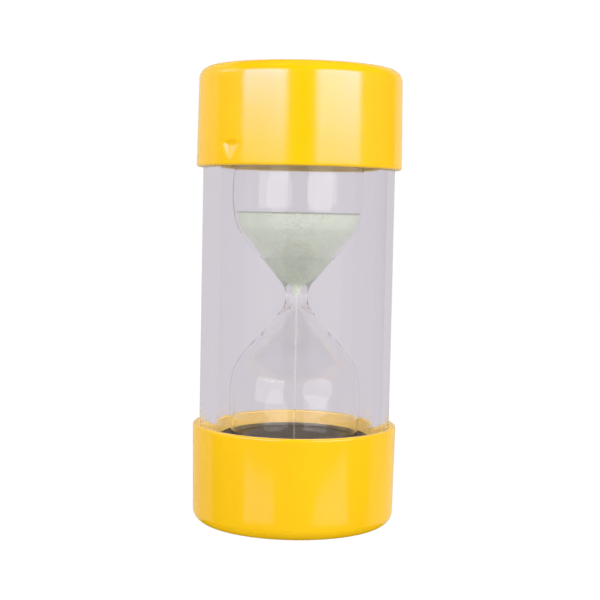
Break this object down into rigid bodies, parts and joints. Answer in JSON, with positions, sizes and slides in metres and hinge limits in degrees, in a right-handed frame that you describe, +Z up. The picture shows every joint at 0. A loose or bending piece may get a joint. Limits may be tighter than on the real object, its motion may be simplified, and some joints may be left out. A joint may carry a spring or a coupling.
{
  "type": "sand timer hourglass",
  "caption": "Barrel sand timer: a double-bulb glass vial with pale green sand, held in foam inside a thick clear tube with rounded yellow end caps. Stands on either end.",
  "frame": {"origin": "centre of the foot, on the surface that it stands on", "axes": "+Z up along the timer's axis; the timer is the same all round, and -Y faces the camera of the picture"},
  "size_m": [0.0722, 0.0722, 0.16],
  "materials": {
    "yellow_cap": "satin moulded",
    "clear_plastic": "clear polished",
    "vial_glass": "clear blown",
    "stopper_rubber": "matte",
    "black_foam": "matte foam",
    "clear_adhesive": "cured adhesive",
    "green_sand": "fine grain"
  },
  "bodies": {
    "timer": {"top_end_cap": "yellow_cap", "bottom_end_cap": "yellow_cap", "clear_barrel": "clear_plastic", "glass_vial": "vial_glass", "fill_stopper": "stopper_rubber", "top_foam_plug": "black_foam", "bottom_foam_plug": "black_foam", "top_glue_ring": "clear_adhesive", "bottom_glue_ring": "clear_adhesive", "sand_funnel": "green_sand", "sand_stream": "green_sand", "sand_heap": "green_sand"},
    "running_sand": {"sand_charge": "green_sand"}
  },
  "joints": [
    {"name": "sand_run", "type": "slide", "parent": "timer", "child": "running_sand", "axis": [0, 0, -1], "range_m": [0, 0.0695], "deforming": ["sand_charge", "sand_stream"]}
  ]
}
